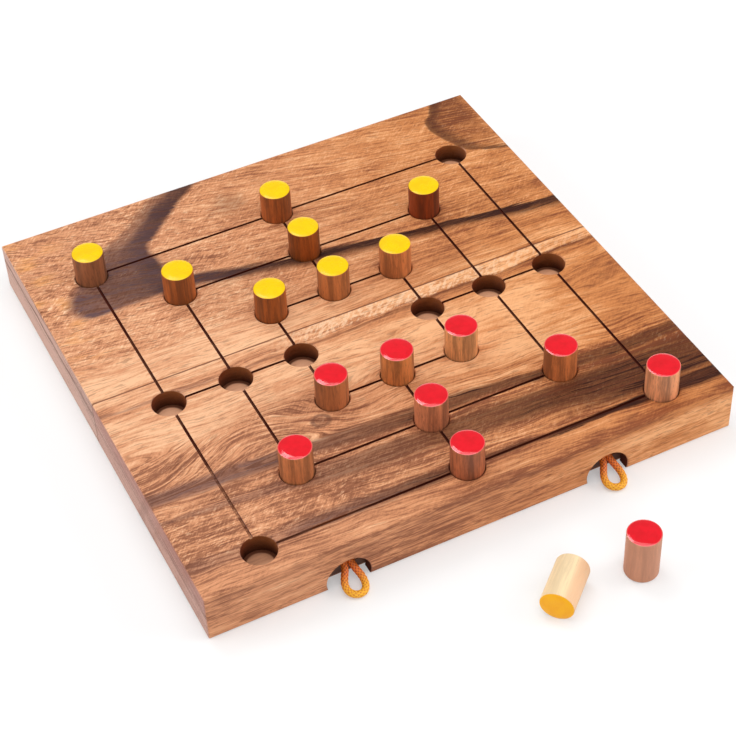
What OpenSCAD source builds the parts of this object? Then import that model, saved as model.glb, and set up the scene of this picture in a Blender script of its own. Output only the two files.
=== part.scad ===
// Nine mens morris board: two glued planks with a milled playing field, eighteen dowel men with
// painted ends, and two thin lids underneath, each pulled open by a cord loop in its notch.
// Millimetres. The origin is the centre of the underside, the notched edge faces -Y, and +Z is up.

/* [Board] */
// Width along the notched front edge
board_w = 169.6; // [160:0.2:180]
// Depth from the notched front edge to the back edge
board_d = 167.6; // [162:0.2:180]
// Thickness of the planks
board_t = 16.6; // [16.6:0.1:20]
// How far behind the board's middle the glued seam between the planks lies
seam_y = 0.6; // [0:0.1:2]
// Radius of the sanded outside edges
edge_r = 0.8; // [0.3:0.1:1.2]

/* [Playing field] */
// Distance between neighbouring holes, which is also the step between the squares
pitch = 21.6; // [21:0.1:22]
// How far in front of the board's middle the field is centred
field_forward = 9.7; // [8:0.1:11]
// Diameter of the holes
hole_d = 10.5; // [10.3:0.1:10.8]
// Depth of the holes
hole_depth = 6.1; // [5:0.1:7]
// Width of the burnt lines
line_w = 0.9; // [0.6:0.1:1.4]
// Depth of the burnt lines
line_depth = 0.7; // [0.4:0.1:1]

/* [Men] */
// Diameter of the dowel that the men are cut from
man_d = 10; // [9.6:0.1:10]
// Length of the men that stand on the board
man_l = 16.4; // [15:0.1:17]
// Length of the two men that lie beside the board
spare_l = 15.8; // [15:0.1:17]
// Thickness of the enamel on a man's end
enamel_t = 0.4; // [0.2:0.1:0.6]
// Width of the sanded edge at both ends of a man
man_edge = 0.5; // [0.2:0.1:0.8]

/* [Store underneath] */
// Distance of each lid's middle from the board's middle
lid_x = 42; // [41.5:0.1:42.5]
// Width of a lid
lid_w = 74; // [70:0.5:75]
// Thickness of a lid
lid_t = 3.4; // [3:0.1:3.6]
// How far the lids sit inside the underside
lid_sunk = 0.3; // [0.2:0.1:0.5]
// Thickness of the board's rim in front of the lids
rim = 3.8; // [3.4:0.1:4.2]
// Gap round the edges of a lid
gap = 0.3; // [0.2:0.05:0.4]
// Men that lie side by side in a store, and also end to end
store_rows = 3; // [3:1:3]
// Depth of a store above the lid
store_h = 10.2; // [10.2:0.1:10.6]

/* [Pull loops] */
// Radius of the notch in the front edge
notch_r = 6.9; // [6:0.1:7]
// Height of the notch's centre over the underside
notch_z = 2.15; // [1.5:0.05:2.5]
// Diameter of the braided cord
cord_d = 2.1; // [1.8:0.1:2.2]

/* [Hidden] */
yellow_men = [[-3, 3], [0, 3], [-2, 2], [0, 2], [2, 2], [-1, 1], [0, 1], [1, 1]];
red_men = [[-1, -1], [0, -1], [1, -1], [-2, -2], [0, -2], [2, -2], [0, -3], [3, -3]];
// The men beside the board: the middle of the foot, and the turn of the lying man about +Z
spare_red = [31.5, -118.4];
spare_yellow = [13.4, -111.7];
spare_yellow_turn = 222;

men_of_a_colour = 9;

$fn = 64;
past = 1;

front_y = -board_d / 2;
back_y = board_d / 2;
hole_floor = board_t - hole_depth;
field_x = 0.5;
mouth_edge = 0.3;

lid_top = lid_sunk + lid_t;
lid_front = front_y + rim + gap;
// The lid's back edge ends in a round tongue, which turns in a groove behind a lip
tongue_r = 1;
groove_r = tongue_r + 0.25;
hinge_y = back_y - rim + 0.4;
hinge_z = lid_sunk + 2.1;
neck_t = 1;
lid_back = hinge_y - 1.6;

store_w = store_rows * man_d + 0.6;
store_l = store_rows * man_l + 1.8;
store_corner = 1.5;
store_x = pitch;
store_y = 51.8;

// The two ends of each cord go down through the lid and are melted into buttons in a slot
cord_hole_d = 2.5;
cord_hole_x = 1.7;
cord_hole_y = -73;
button_r = 1.5;
button_h = 1.1;
slot_w = 4.4;
channel_r = 3.5;
channel_h = 5.1;
channel_end = -74.6;

// The loop's centreline, from button to button: x from the notch's middle, then y and z
loop_route = [
    [-1.7, -73.0, 1.5], [-1.7, -73.0, 3.2], [-1.7, -73.2, 4.8], [-1.6, -73.9, 6.2],
    [-1.4, -75.2, 7.1], [-1.0, -76.8, 7.2], [-0.6, -78.3, 6.7], [-0.3, -79.7, 5.7],
    [-0.3, -81.1, 4.8], [-0.8, -82.6, 4.0], [-1.7, -84.1, 3.2], [-2.4, -85.7, 2.4],
    [-2.4, -87.4, 1.6], [-1.5, -88.9, 1.2], [0.1, -89.7, 1.1], [1.7, -89.4, 1.1],
    [2.8, -88.2, 1.4], [3.2, -86.5, 1.9], [3.0, -84.8, 2.7], [2.5, -83.3, 3.5],
    [2.1, -81.8, 4.3], [1.9, -80.3, 5.2], [1.8, -78.8, 6.2], [1.8, -77.1, 7.0],
    [1.8, -75.4, 7.1], [1.7, -74.0, 6.3], [1.7, -73.2, 4.8], [1.7, -73.0, 3.2],
    [1.7, -73.0, 1.5]
];

wood = [0.80, 0.57, 0.40];
lid_wood = [0.76, 0.54, 0.38];
dowel = [0.78, 0.60, 0.42];
cord = [0.95, 0.52, 0.14];
red = [0.86, 0.14, 0.17];
yellow = [0.96, 0.79, 0.18];

function along(v) = v / norm(v);

// The direction of a route at point i, and the sideways direction square to it
function heading(route, i) =
    let (a = route[max(i - 1, 0)], b = route[min(i + 1, len(route) - 1)])
    along(b - a);
function sideways(route) =
    let (first = along(cross(heading(route, 0), [0, 1, 0])))
    [for (i = 0, s = first; i < len(route);
          i = i + 1,
          s = i < len(route) ? let (h = heading(route, i)) along(s - h * (s * h)) : s) s];

// A tube of one skin along a route
module tube(route, d, sides = 8) {
    side = sideways(route);
    rings = [
        for (i = [0:len(route) - 1])
            let (h = heading(route, i), up = cross(h, side[i]))
            for (k = [0:sides - 1])
                route[i] + d / 2 * (cos(360 * k / sides) * side[i] + sin(360 * k / sides) * up)
    ];
    last = (len(route) - 1) * sides;
    walls = [
        for (i = [0:len(route) - 2], k = [0:sides - 1])
            let (a = i * sides + k, b = i * sides + (k + 1) % sides)
            each [[a, b + sides, b], [a, a + sides, b + sides]]
    ];
    ends = [[for (k = [0:sides - 1]) k], [for (k = [sides - 1:-1:0]) last + k]];
    polyhedron(rings, concat(walls, ends), convexity = 6);
}

// A rectangle with round corners
module round_rectangle(w, l, r) {
    square([w - 2 * r, l], center = true);
    square([w, l - 2 * r], center = true);
    for (x = [-1, 1], y = [-1, 1])
        translate([x * (w / 2 - r), y * (l / 2 - r)]) circle(r = r);
}

// The whole board before it is drilled, with its outside edges sanded round
module blank() {
    intersection() {
        linear_extrude(board_t) round_rectangle(board_w, board_d, edge_r);
        translate([0, board_d / 2 + past, board_t / 2])
            rotate([90, 0, 0])
                linear_extrude(board_d + 2 * past) round_rectangle(board_w, board_t, edge_r);
        translate([-board_w / 2 - past, 0, board_t / 2])
            rotate([90, 0, 90])
                linear_extrude(board_w + 2 * past) round_rectangle(board_d, board_t, edge_r);
    }
}

// Places at the field's crossings, counted in steps from its middle
module at(step) {
    translate([field_x + step.x * pitch, -field_forward + step.y * pitch, 0]) children();
}

// One blind hole for a man, with its mouth eased
module hole() {
    translate([0, 0, hole_floor]) cylinder(d = hole_d, h = hole_depth + past);
    translate([0, 0, board_t - mouth_edge])
        cylinder(d1 = hole_d, d2 = hole_d + 2 * (mouth_edge + past), h = mouth_edge + past);
}

// One straight burnt line between two crossings
module line(a, b) {
    length = (norm(b - a)) * pitch;
    at((a + b) / 2)
        translate([0, 0, board_t + past / 2 - line_depth / 2])
            cube([
                a.y == b.y ? length : line_w,
                a.x == b.x ? length : line_w,
                line_depth + past
            ], center = true);
}

// The three squares, the four lines that join them, and a hole at every corner and meeting
module field() {
    for (k = [1:3], turn = [-1, 1]) {
        line([-k, turn * k], [k, turn * k]);
        line([turn * k, -k], [turn * k, k]);
    }
    for (turn = [-1, 1]) {
        line([turn, 0], [3 * turn, 0]);
        line([0, turn], [0, 3 * turn]);
    }
    for (k = [1:3], i = [-1:1], j = [-1:1])
        if (i != 0 || j != 0) at([i * k, j * k]) hole();
}

// The notch in the front edge that the loop comes out of, and the channel behind it
module notch() {
    translate([0, front_y + rim, notch_z])
        rotate([90, 0, 0]) {
            cylinder(r = notch_r, h = rim + past);
            translate([0, 0, rim - mouth_edge])
                cylinder(r1 = notch_r, r2 = notch_r + mouth_edge + past, h = mouth_edge + past);
        }
    translate([0, 0, lid_top - past]) {
        translate([0, channel_end, 0]) cylinder(r = channel_r, h = channel_h + past);
        translate([-channel_r, front_y + rim - past, 0])
            cube([2 * channel_r, channel_end - front_y - rim + past, channel_h + past]);
    }
}

// The recess that a lid fills, with the groove its tongue turns in
module lid_recess() {
    translate([0, 0, -past])
        translate([-lid_w / 2 - gap, front_y + rim, 0])
            cube([lid_w + 2 * gap, hinge_y - front_y - rim, lid_top + past]);
    translate([-lid_w / 2 - gap, hinge_y, hinge_z])
        rotate([0, 90, 0]) cylinder(r = groove_r, h = lid_w + 2 * gap);
}

// The store for nine men above a lid, between the holes
module store() {
    translate([field_x, store_y, lid_top - past])
        linear_extrude(store_h + past) round_rectangle(store_w, store_l, store_corner);
}

module milled_board() {
    difference() {
        blank();
        field();
        for (side = [-1, 1]) {
            translate([side * lid_x, 0, 0]) {
                notch();
                lid_recess();
            }
            translate([side * store_x, 0, 0]) store();
        }
    }
}

module front_plank() {
    color(wood)
        intersection() {
            milled_board();
            translate([-board_w, seam_y - 2 * board_d, -past])
                cube([2 * board_w, 2 * board_d, board_t + 2 * past]);
        }
}

module back_plank() {
    color(wood)
        intersection() {
            milled_board();
            translate([-board_w, seam_y, -past])
                cube([2 * board_w, 2 * board_d, board_t + 2 * past]);
        }
}

// A lid's side view, drawn with y to the right and z up
module lid_profile() {
    translate([lid_front, lid_sunk]) square([lid_back - lid_front, lid_t]);
    translate([lid_back - past, hinge_z - neck_t / 2]) square([hinge_y - lid_back + past, neck_t]);
    translate([hinge_y, hinge_z]) circle(r = tongue_r);
}

module lid(side) {
    color(lid_wood)
        translate([side * lid_x, 0, 0])
            difference() {
                translate([-lid_w / 2, 0, 0])
                    rotate([90, 0, 90]) linear_extrude(lid_w) lid_profile();
                for (x = [-cord_hole_x, cord_hole_x])
                    translate([x, cord_hole_y, 0]) cylinder(d = cord_hole_d, h = lid_top + past);
                translate([0, cord_hole_y, 0])
                    linear_extrude(lid_sunk + button_h + 0.1) {
                        square([2 * cord_hole_x, slot_w], center = true);
                        for (x = [-cord_hole_x, cord_hole_x])
                            translate([x, 0]) circle(d = slot_w);
                    }
            }
}

module loop(side) {
    color(cord)
        tube([for (p = loop_route) p + [side * lid_x, 0, 0]], cord_d);
}

// The melted ends that keep the loop from pulling out of the lid
module loop_ends(side) {
    color(cord)
        for (x = [-cord_hole_x, cord_hole_x])
            translate([side * lid_x + x, cord_hole_y, loop_route[0].z]) mirror([0, 0, 1]) {
                cylinder(r = button_r, h = button_h / 2);
                translate([0, 0, button_h / 2])
                    cylinder(r1 = button_r, r2 = button_r - 0.6, h = button_h / 2);
            }
}

// A turned end: a straight side, then a sanded edge up to the flat
module eased_end(r, edge, h) {
    rotate_extrude()
        polygon([[0, 0], [r, 0], [r, h - edge], [r - 0.3 * edge, h - 0.3 * edge], [r - edge, h], [0, h]]);
}

// The dowel of a man, standing on z = 0, with room for the enamel on top
module man_dowel(length) {
    color(dowel) {
        translate([0, 0, length / 2]) eased_end(man_d / 2, 0.1, length / 2 - enamel_t);
        translate([0, 0, length / 2]) mirror([0, 0, 1]) eased_end(man_d / 2, man_edge, length / 2);
    }
}

// The enamel that the man's end was dipped in
module man_enamel(length, paint) {
    color(paint)
        translate([0, 0, length - enamel_t])
            eased_end(man_d / 2 - 0.1, enamel_t - 0.1, enamel_t);
}

// Puts a man of one colour in its hole, or beside the board when it is the last one
module place_red(i) {
    if (i < men_of_a_colour) at(red_men[i - 1]) translate([0, 0, hole_floor]) children();
    else translate(spare_red) children();
}

module place_yellow(i) {
    if (i < men_of_a_colour) at(yellow_men[i - 1]) translate([0, 0, hole_floor]) children();
    else translate([spare_yellow.x, spare_yellow.y, man_d / 2])
        rotate([0, 90, spare_yellow_turn]) children();
}

function man_length(i) = i < men_of_a_colour ? man_l : spare_l;

front_plank();
back_plank();
lid(-1);  // left_lid
lid(1);  // right_lid
loop(-1);  // left_loop
loop(1);  // right_loop
loop_ends(-1);  // left_loop_ends
loop_ends(1);  // right_loop_ends
for (i = [1:men_of_a_colour]) {
    place_red(i) man_dowel(man_length(i));
    place_red(i) man_enamel(man_length(i), red);
    place_yellow(i) man_dowel(man_length(i));
    place_yellow(i) man_enamel(man_length(i), yellow);
}
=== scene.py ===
# %% [markdown]
# # A nine mens morris board
# The board, its eighteen men and the two lids underneath are made by the CAD model, which loads
# here as a fixed frame. This script adds what a CAD model can't show: the figure of the wood, the
# scorch of the lines, glossy enamel with its soft edge, and a real braid on the pull loops.
# Everything is in metres, with the origin in the middle of the board's underside.

# %% Load the frame
import math
from collections import namedtuple
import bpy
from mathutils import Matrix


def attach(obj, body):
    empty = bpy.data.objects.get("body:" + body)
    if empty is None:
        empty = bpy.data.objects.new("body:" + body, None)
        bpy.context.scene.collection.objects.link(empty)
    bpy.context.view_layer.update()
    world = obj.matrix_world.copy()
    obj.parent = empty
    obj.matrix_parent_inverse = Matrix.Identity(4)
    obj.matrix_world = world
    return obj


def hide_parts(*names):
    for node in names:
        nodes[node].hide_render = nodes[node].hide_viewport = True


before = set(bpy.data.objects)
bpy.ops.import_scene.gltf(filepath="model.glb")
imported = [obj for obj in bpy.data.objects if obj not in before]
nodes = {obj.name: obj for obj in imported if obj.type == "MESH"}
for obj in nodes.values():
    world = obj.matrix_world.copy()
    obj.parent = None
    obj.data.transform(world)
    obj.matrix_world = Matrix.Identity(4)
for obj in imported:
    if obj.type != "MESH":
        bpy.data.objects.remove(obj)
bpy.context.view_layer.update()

from types import SimpleNamespace

import bmesh
import bpy
from mathutils import Matrix, Vector

MM = 0.001

# %% [markdown]
# ## The camera
# The photograph was taken from the front left, a little more than 40 degrees above the table, with
# a long lens: the board's far edge is hardly shorter than its near edge. A camera is turned here
# about three axes: first the roll about its own line of sight, then the tilt, then the turn
# about Z.

# %% Camera
CAMERA_PLACE = Vector((-0.1770, -0.3976, 0.4093))
CAMERA_TURN = 24.63
CAMERA_TILT = 43.76
CAMERA_ROLL = -2.92
FOCAL_PIXELS = 1898
PICTURE_PIXELS = 736
SENSOR_WIDTH = 36

camera_data = bpy.data.cameras.new("camera")
camera = bpy.data.objects.new("camera", camera_data)
bpy.context.scene.collection.objects.link(camera)
bpy.context.scene.camera = camera
camera_data.sensor_width = SENSOR_WIDTH
camera_data.lens = SENSOR_WIDTH * FOCAL_PIXELS / PICTURE_PIXELS
turned = (Matrix.Rotation(math.radians(-CAMERA_TURN), 4, "Z")
          @ Matrix.Rotation(math.radians(90 - CAMERA_TILT), 4, "X")
          @ Matrix.Rotation(math.radians(CAMERA_ROLL), 4, "Z"))
camera.matrix_world = Matrix.Translation(CAMERA_PLACE) @ turned
print("camera lens", round(camera_data.lens, 1), "mm")

# %% [markdown]
# ## The braided pull loops
# Each loop is 2 mm braid: six strands wind one way round and six the other way, and they pass
# over and under each other. A texture could only draw that, so the tube's own surface is raised
# where a strand is on top and sunk in between. Its line is the CAD model's route, from a hole in
# the lid, up, out of the notch, down to the table and back.

# %% The line of a loop
# Each notch's distance from the board's middle, in millimetres
NOTCH = 42
NOTCH_X = {"left_loop": -NOTCH, "right_loop": NOTCH}
CORD_DIAMETER = 0.0021
CURVE_STEPS = 16

# The loop's centreline in millimetres: x from the middle of the notch, then y and z
LOOP_ROUTE = [
    (-1.7, -73.0, 1.5), (-1.7, -73.0, 3.2), (-1.7, -73.2, 4.8), (-1.6, -73.9, 6.2),
    (-1.4, -75.2, 7.1), (-1.0, -76.8, 7.2), (-0.6, -78.3, 6.7), (-0.3, -79.7, 5.7),
    (-0.3, -81.1, 4.8), (-0.8, -82.6, 4.0), (-1.7, -84.1, 3.2), (-2.4, -85.7, 2.4),
    (-2.4, -87.4, 1.6), (-1.5, -88.9, 1.2), (0.1, -89.7, 1.1), (1.7, -89.4, 1.1),
    (2.8, -88.2, 1.4), (3.2, -86.5, 1.9), (3.0, -84.8, 2.7), (2.5, -83.3, 3.5),
    (2.1, -81.8, 4.3), (1.9, -80.3, 5.2), (1.8, -78.8, 6.2), (1.8, -77.1, 7.0),
    (1.8, -75.4, 7.1), (1.7, -74.0, 6.3), (1.7, -73.2, 4.8), (1.7, -73.0, 3.2),
    (1.7, -73.0, 1.5),
]


def smooth_line(points, steps):
    """A curve through the points, with so many steps from each to the next."""
    ends = [points[0] * 2 - points[1], *points, points[-1] * 2 - points[-2]]
    line = []
    for a, b, c, d in zip(ends, ends[1:], ends[2:], ends[3:]):
        for step in range(steps):
            t = step / steps
            line.append(0.5 * (2 * b + (c - a) * t + (2 * a - 5 * b + 4 * c - d) * t ** 2
                               + (3 * b - a - 3 * c + d) * t ** 3))
    return line + [points[-1]]


def line_length(line):
    return sum((b - a).length for a, b in zip(line, line[1:]))


loop_lines = {}
for name, notch_x in NOTCH_X.items():
    points = [Vector((x + notch_x, y, z)) * MM for x, y, z in LOOP_ROUTE]
    loop_lines[name] = smooth_line(points, CURVE_STEPS)
    print(name, "is", round(line_length(loop_lines[name]) / MM, 1), "mm long")

# %% [markdown]
# A strand's height over the cord's core is a half round across its width. Where the two families
# of strands cross, each is on top at every other crossing, so the heights of the two families are
# weighed with two waves that run in opposite phase.

# %% The height of the braid
# Strands that wind one way round, and the length of cord on which the next one takes their place
STRANDS = 6
BRAID_PITCH = 0.0012
# How high a strand still is where it passes under another, beside where it passes over
UNDER = 0.45


def strand_height(way, other):
    """Height of one family of strands, 0 to 1. way counts its strands, other those it crosses."""
    off = abs((way + 0.5) % 1 - 0.5) * 2
    over = 0.5 + 0.5 * math.cos(math.pi * (math.floor(way + 0.5) + other))
    return math.sqrt(max(0, 1 - off ** 2)) * (UNDER + (1 - UNDER) * over)


def braid_height(angle, along):
    """Height of the cord's surface, 0 to 1, at an angle round it and a distance along it."""
    turns = angle / (2 * math.pi)
    right = STRANDS * turns + along / BRAID_PITCH
    left = STRANDS * turns - along / BRAID_PITCH
    return max(strand_height(right, left), strand_height(left, right + 1))


ring_of_heights = [braid_height(2 * math.pi * k / 96, 0) for k in range(96)]
print("round the cord the braid rises to", round(max(ring_of_heights), 2), "and sinks to",
      round(min(ring_of_heights), 2))

# %% [markdown]
# The tube is built ring by ring along the line. Each ring's frame is carried on from the last one,
# so that the braid doesn't twist. The height is also kept as an attribute, so that the finish can
# darken the valleys.

# %% Braid a cord
# How far the crowns stand over the cord's round, and the valleys lie below the crowns
BRAID_CROWN = 0.00005
BRAID_RELIEF = 0.0002
CORD_SIDES = 48


def braided_cord(name, line):
    """A closed tube along the line, with the relief of a braid."""
    mesh = bpy.data.meshes.new(name)
    cord = bpy.data.objects.new(name, mesh)
    bpy.context.scene.collection.objects.link(cord)
    made = bmesh.new()
    relief = made.verts.layers.float.new("relief")
    side = Vector((1, 0, 0))
    along = 0
    rings = []
    for i, place in enumerate(line):
        ahead = (line[min(i + 1, len(line) - 1)] - line[max(i - 1, 0)]).normalized()
        side = (side - ahead * side.dot(ahead)).normalized()
        up = ahead.cross(side)
        along += (place - line[i - 1]).length if i else 0
        ring = []
        for k in range(CORD_SIDES):
            angle = 2 * math.pi * k / CORD_SIDES
            height = braid_height(angle, along)
            radius = CORD_DIAMETER / 2 + BRAID_CROWN - BRAID_RELIEF * (1 - height)
            out = math.cos(angle) * side + math.sin(angle) * up
            vertex = made.verts.new(place + radius * out)
            vertex[relief] = height
            ring.append(vertex)
        rings.append(ring)
    for ring, following in zip(rings, rings[1:]):
        for k in range(CORD_SIDES):
            n = (k + 1) % CORD_SIDES
            made.faces.new((ring[k], ring[n], following[n], following[k]))
    for ring, centre, order in ((rings[0], line[0], -1), (rings[-1], line[-1], 1)):
        middle = made.verts.new(centre)
        for k in range(CORD_SIDES):
            pair = (ring[k], ring[(k + 1) % CORD_SIDES])[::order]
            made.faces.new((middle, *pair))
    made.to_mesh(mesh)
    made.free()
    mesh.shade_smooth()
    return cord


cords = {}
for name, line in loop_lines.items():
    cords[name] = braided_cord(name + "_braid", line)
    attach(cords[name], name.replace("loop", "lid"))
    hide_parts(name)
    name + "_ends"
    print(cords[name].name, len(cords[name].data.polygons), "faces")

# %% [markdown]
# ## Table and light
# The board lies on plain white, with a faint shadow round it. The table is a cove, as in a
# photographer's studio: flat under the board and curved up into a wall far behind it, so that a low
# view has a white background too. It is made from the wall's upper edge, extruded ring by ring down
# and inwards, and closed with one face.

# %% The table
def deselect_all():
    for each in bpy.context.selected_objects:
        each.select_set(False)


def finished(piece):
    """Applies a piece's place, so that its object sits at the origin."""
    deselect_all()
    piece.select_set(True)
    bpy.context.view_layer.objects.active = piece
    bpy.ops.object.transform_apply(location=True, rotation=True, scale=True)
    return piece


# Each ring's radius and height in metres; the table lies a hair below the board's underside
COVE_RINGS = [(3.6, 1.3), (3.6, 0.7), (3.52, 0.4), (3.3, 0.16), (2.95, 0.04), (2.5, -0.00002)]
COVE_SIDES = 96
COVE_SMOOTH_ANGLE = 60
rim_radius, rim_height = COVE_RINGS[0]
deselect_all()
bpy.ops.mesh.primitive_circle_add(vertices=COVE_SIDES, radius=rim_radius,
                                  location=(0, 0, rim_height))
table = finished(bpy.context.object)
table.name = "table"
bpy.ops.object.mode_set(mode="EDIT")
bpy.ops.mesh.select_all(action="SELECT")
for (radius, height), (narrower, lower) in zip(COVE_RINGS, COVE_RINGS[1:]):
    bpy.ops.mesh.extrude_edges_move()
    share = narrower / radius
    bpy.ops.transform.resize(value=(share, share, 1), center_override=(0, 0, 0))
    bpy.ops.transform.translate(value=(0, 0, lower - height))
bpy.ops.mesh.edge_face_add()
bpy.ops.mesh.select_all(action="SELECT")
bpy.ops.mesh.normals_make_consistent(inside=True)
bpy.ops.object.mode_set(mode="OBJECT")
bpy.ops.object.shade_smooth_by_angle(angle=math.radians(COVE_SMOOTH_ANGLE))
heights = [v.co.z for v in table.data.vertices]
print("table", len(table.data.polygons), "faces, from", round(min(heights), 5),
      "to", round(max(heights), 2), "m")

# %% [markdown]
# The men are lighter on their right and left sides than in the middle, so two soft lamps stand at
# the sides and one, weaker on them, in front. One hangs overhead. The enamel shines along its lower
# left rim, and that is the mirror image of a window high up behind the board. The world fills the
# shadows.

# %% Lamps and world
LAMPS = {
    # name: place, width, watts
    "back_window": ((-0.14, 0.7, 1.32), 0.5, 4.2),
    "overhead": ((0.1, -0.15, 1.55), 1.2, 9.8),
    "front_fill": ((-0.27, -1.5, 0.8), 1.2, 7),
    "left_side": ((-1.3, 0.6, 0.6), 1, 9),
    "right_side": ((1.3, -0.55, 0.6), 1, 8.5),
}
WORLD_STRENGTH = 0.32
for name, (place, width, watts) in LAMPS.items():
    lamp_data = bpy.data.lights.new(name, "AREA")
    lamp_data.shape = "SQUARE"
    lamp_data.size = width
    lamp_data.energy = watts
    lamp = bpy.data.objects.new(name, lamp_data)
    bpy.context.scene.collection.objects.link(lamp)
    lamp.location = place
    lamp.rotation_mode = "QUATERNION"
    lamp.rotation_quaternion = (-Vector(place)).to_track_quat("-Z", "Y")

world = bpy.data.worlds.new("studio")
bpy.context.scene.world = world
world.use_nodes = True
background = world.node_tree.nodes["Background"]
background.inputs["Color"].default_value = (1, 1, 1, 1)
background.inputs["Strength"].default_value = WORLD_STRENGTH
bpy.context.scene.view_settings.view_transform = "Standard"
print(len(LAMPS), "lamps,", sum(watts for place, width, watts in LAMPS.values()), "watts")

# %% [markdown]
# ## Shader sums as plain sums
# A material's pattern is arithmetic on coordinates. Wiring it by hand hides the sum, so a small
# class wraps a socket: adding or multiplying two of them adds the Math node that does it, and one
# method makes every other kind of node.

# %% A socket that can be used in sums
class Signal:
    """An output of a node in the material that is being made."""

    tree = None

    def __init__(self, socket):
        self.socket = socket

    @classmethod
    def node(cls, kind, settings=None, values=None, out=0):
        """Adds a node, sets it, wires or fills its inputs, and wraps one of its outputs."""
        made = cls.tree.nodes.new(kind)
        for name, value in (settings or {}).items():
            if name == "points":
                curve = made.mapping.curves[0]
                for i, point in enumerate(value):
                    if i < len(curve.points):
                        curve.points[i].location = point
                    else:
                        curve.points.new(*point)
                made.mapping.update()
            else:
                setattr(made, name, value)
        for key, value in (values or {}).items():
            if isinstance(value, cls):
                cls.tree.links.new(value.socket, made.inputs[key])
            else:
                made.inputs[key].default_value = value
        return cls(made.outputs[out] if made.outputs else None)

    @classmethod
    def math(cls, operation, *values):
        """A Math node, for what Python has no sign for."""
        return cls.node("ShaderNodeMath", {"operation": operation}, dict(enumerate(values)))

    def __add__(self, other):
        return self.math("ADD", self, other)

    def __sub__(self, other):
        return self.math("SUBTRACT", self, other)

    def __rsub__(self, other):
        return self.math("SUBTRACT", other, self)

    def __mul__(self, other):
        return self.math("MULTIPLY", self, other)

    def __truediv__(self, other):
        return self.math("DIVIDE", self, other)

    def __abs__(self):
        return self.math("ABSOLUTE", self)

    def __pow__(self, other):
        return self.math("POWER", self, other)

    __radd__ = __add__
    __rmul__ = __mul__


# %% [markdown]
# A handful of named helpers keeps the finishes short. The first ones are a colour as a picture
# gives it, a soft step, the strongest of some masks, and a mix of two colours.

# %% Colours, steps and mixes
def paint(red, green, blue):
    """A colour as a paint chart or a picture gives it, 0 to 255, made linear for the shader."""
    def linear(c):
        c /= 255
        return c / 12.92 if c <= 0.04045 else ((c + 0.055) / 1.055) ** 2.4
    return (linear(red), linear(green), linear(blue), 1)


def fade(value, low, high):
    """0 below low and 1 above high, with a soft step between, or the other way round."""
    return Signal.node("ShaderNodeMapRange", {"interpolation_type": "SMOOTHSTEP"},
                       {"Value": value, "From Min": low, "From Max": high})


def most(*masks):
    found = masks[0]
    for mask in masks[1:]:
        found = Signal.math("MAXIMUM", found, mask)
    return found


# Where the Mix node has its factor, its two colours and its mixed colour
MIX_FACTOR, MIX_FIRST, MIX_SECOND, MIX_OUT = 0, 6, 7, 2


def mix(factor, first, second, how="MIX"):
    settings = {"data_type": "RGBA", "blend_type": how, "clamp_factor": True}
    values = {MIX_FACTOR: factor, MIX_FIRST: first, MIX_SECOND: second}
    return Signal.node("ShaderNodeMix", settings, values, out=MIX_OUT)


print("middle grey is", round(paint(128, 128, 128)[0], 3), "to the shader")

# %% [markdown]
# The others work in millimetres: a noise whose lumps have a given size along each axis, and a line
# drawn through points, as a joiner bends a batten through nails. Two more give the place and the
# direction of the surface.

# %% Noise, drawn lines and places
# How far apart two seeds read the same noise
SEED_STEP = 37.3
# A line is drawn on a chart that runs from -100 to 100 mm both ways
CHART = 100


def noise(place, size, seed, detail=2, roughness=0.5):
    """Noise from 0 to 1, with lumps of the given size in mm along x, y and z."""
    x, y, z = (p / s for p, s in zip(place, size))
    spot = Signal.node("ShaderNodeCombineXYZ", None, {0: x + SEED_STEP * seed, 1: y, 2: z})
    return Signal.node("ShaderNodeTexNoise", None,
                       {"Vector": spot, "Scale": 1, "Detail": detail, "Roughness": roughness})


def drawn(value, points):
    """A smooth line through given points: the answer for a value, both in mm."""
    spread = [((a + CHART) / 2 / CHART, (b + CHART) / 2 / CHART) for a, b in points]
    share = Signal.node("ShaderNodeFloatCurve", {"points": spread},
                        {"Value": (value + CHART) / (2 * CHART)})
    return share * (2 * CHART) - CHART


def parts_of(kind):
    """The three parts of one of the vectors that the Texture Coordinate node gives."""
    spot = Signal.node("ShaderNodeTexCoord", out=kind)
    return [Signal.node("ShaderNodeSeparateXYZ", None, {0: spot}, out=i) for i in range(3)]


def place_in_mm():
    """The place in the piece's own space, in millimetres."""
    return [part / MM for part in parts_of("Object")]


def facing():
    """The direction of the surface."""
    return parts_of("Normal")


# %% [markdown]
# Every finish begins with an empty material, ends with one shader, and is given to its pieces. Its
# pattern goes into the shader's colour, roughness and bump, and the rest of the shader is fixed.

# %% Start, end and give a finish
def start_finish(name):
    """An empty material, which the sums that follow add their nodes to."""
    material = bpy.data.materials.new(name)
    material.use_nodes = True
    material.node_tree.nodes.clear()
    Signal.tree = material.node_tree
    return material


def end_finish(colour, roughness, bump, height, **fixed):
    """One shader with a colour, a roughness, a bump as high as height in metres, and the rest."""
    normal = Signal.node("ShaderNodeBump", None,
                         {"Height": bump, "Distance": height, "Strength": 1})
    values = {"Base Color": colour, "Roughness": roughness, "Normal": normal, **fixed}
    shader = Signal.node("ShaderNodeBsdfPrincipled", None, values)
    Signal.node("ShaderNodeOutputMaterial", None, {"Surface": shader})


def give(material, *pieces):
    """Puts the material in every slot of the pieces."""
    for piece in pieces:
        if not piece.material_slots:
            piece.data.materials.append(material)
        for place in piece.material_slots:
            place.material = material


# %% [markdown]
# The table is white and matt. Where the camera, a mirror or a glass looks at it, it is a little
# greyer and has its own light, more of it further away, where the lamps don't reach. So it renders
# white, with a faint shadow, without a lamp that would bleach the wood, and the wood still gets
# the light of a white table.

# %% Table finish
LIT, SEEN = (0.8, 0.8, 0.8, 1), (0.65, 0.65, 0.65, 1)
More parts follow.
